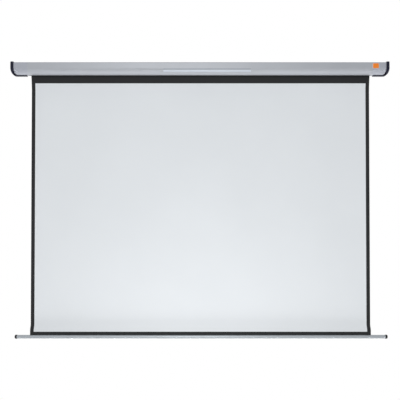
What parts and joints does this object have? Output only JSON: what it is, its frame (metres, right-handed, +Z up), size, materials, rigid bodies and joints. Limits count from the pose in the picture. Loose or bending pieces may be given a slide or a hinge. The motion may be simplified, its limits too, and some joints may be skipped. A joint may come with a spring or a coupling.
{
  "type": "motorized projector screen",
  "caption": "Wall-hung motorized projector screen: slim curved case, roller with a tubular motor, black-bordered 4:3 sheet and a weighted bar in its hem.",
  "frame": {"origin": "centre of the flat back of the case, on the wall plane", "axes": "+X along the case to the right as seen from the front, +Y into the wall, +Z up; the picture faces -Y"},
  "size_m": [2.1832, 0.087, 1.5987],
  "materials": {
    "case_paint": "satin silver powder coat",
    "cover_plastic": "satin silver",
    "trim_plastic": "dark blue-black, fine grain",
    "inlay_strip": "bright brushed",
    "aluminium_extrusion": "satin anodised",
    "zinc_plated": "zinc plated",
    "machined_steel": "machined",
    "bronze_bush": "sintered bronze",
    "black_moulding": "moulded",
    "white_moulding": "natural nylon",
    "black_rubber": "soft",
    "picture_sheet": "matt white with a black border",
    "black_hem": "matt black"
  },
  "bodies": {
    "housing": {"case_profile": "case_paint", "front_inlay": "inlay_strip", "end_cover_left": "cover_plastic", "end_cover_right": "cover_plastic", "end_bumper_left": "trim_plastic", "end_bumper_right": "trim_plastic", "wall_bracket_left": "zinc_plated", "wall_bracket_right": "zinc_plated", "end_plate_left": "zinc_plated", "end_plate_right": "zinc_plated", "connection_box": "black_moulding", "connection_box_lid": "black_moulding", "terminal_block": "white_moulding", "motor_lead": "black_rubber", "cable_grommet": "black_rubber", "motor_head": "black_moulding", "motor_casing": "machined_steel", "motor_core": "zinc_plated", "motor_capacitor": "white_moulding", "ring_gear": "machined_steel", "output_bush": "bronze_bush", "idler_pin": "machined_steel", "screen_fabric": "picture_sheet"},
    "roller": {"roller_tube": "aluminium_extrusion", "fabric_wound": "picture_sheet", "fabric_spline": "white_moulding", "drive_wheel": "white_moulding", "limit_crown": "black_moulding", "idler_plug": "black_moulding", "idler_bush": "bronze_bush", "output_carrier": "machined_steel"},
    "sun": {"sun_gear": "machined_steel"},
    "planet_1": {"planet_gear_1": "machined_steel"},
    "planet_2": {"planet_gear_2": "machined_steel"},
    "planet_3": {"planet_gear_3": "machined_steel"},
    "up_limit_screw": {"limit_screw_up": "white_moulding"},
    "down_limit_screw": {"limit_screw_down": "white_moulding"},
    "bar": {"bottom_bar": "aluminium_extrusion", "hem_rod": "machined_steel", "fabric_hem": "black_hem", "bar_cap_left": "black_moulding", "bar_cap_right": "black_moulding"}
  },
  "joints": [
    {"name": "roller_spin", "type": "hinge", "parent": "housing", "child": "roller", "pos_m": [0, -0.041, 0], "axis": [1, 0, 0], "range_deg": [0, 2963]},
    {"name": "bar_lift", "type": "slide", "parent": "housing", "child": "bar", "axis": [0, 0, 1], "range_m": [0, 1.495], "deforming": ["screen_fabric"]},
    {"name": "sun_spin", "type": "hinge", "parent": "housing", "child": "sun", "pos_m": [-0.58, -0.041, 0], "axis": [1, 0, 0], "range_deg": [0, 14816]},
    {"name": "planet_1_spin", "type": "hinge", "parent": "roller", "child": "planet_1", "pos_m": [-0.58, -0.041, 0.00825], "axis": [1, 0, 0], "range_deg": [-7902, 0]},
    {"name": "planet_2_spin", "type": "hinge", "parent": "roller", "child": "planet_2", "pos_m": [-0.58, -0.04814, -0.00413], "axis": [1, 0, 0], "range_deg": [-7902, 0]},
    {"name": "planet_3_spin", "type": "hinge", "parent": "roller", "child": "planet_3", "pos_m": [-0.58, -0.03386, -0.00413], "axis": [1, 0, 0], "range_deg": [-7902, 0]},
    {"name": "up_limit_turn", "type": "hinge", "parent": "housing", "child": "up_limit_screw", "pos_m": [-1.02, -0.031, 0], "axis": [1, 0, 0], "continuous": true},
    {"name": "down_limit_turn", "type": "hinge", "parent": "housing", "child": "down_limit_screw", "pos_m": [-1.02, -0.051, 0], "axis": [1, 0, 0], "continuous": true}
  ],
  "couplings": [
    {"joint": "bar_lift", "follows": "roller_spin", "m_per_rad": 0.0289},
    {"joint": "sun_spin", "follows": "roller_spin", "ratio": 5},
    {"joint": "planet_1_spin", "follows": "roller_spin", "ratio": -2.6667},
    {"joint": "planet_2_spin", "follows": "roller_spin", "ratio": -2.6667},
    {"joint": "planet_3_spin", "follows": "roller_spin", "ratio": -2.6667}
  ]
}
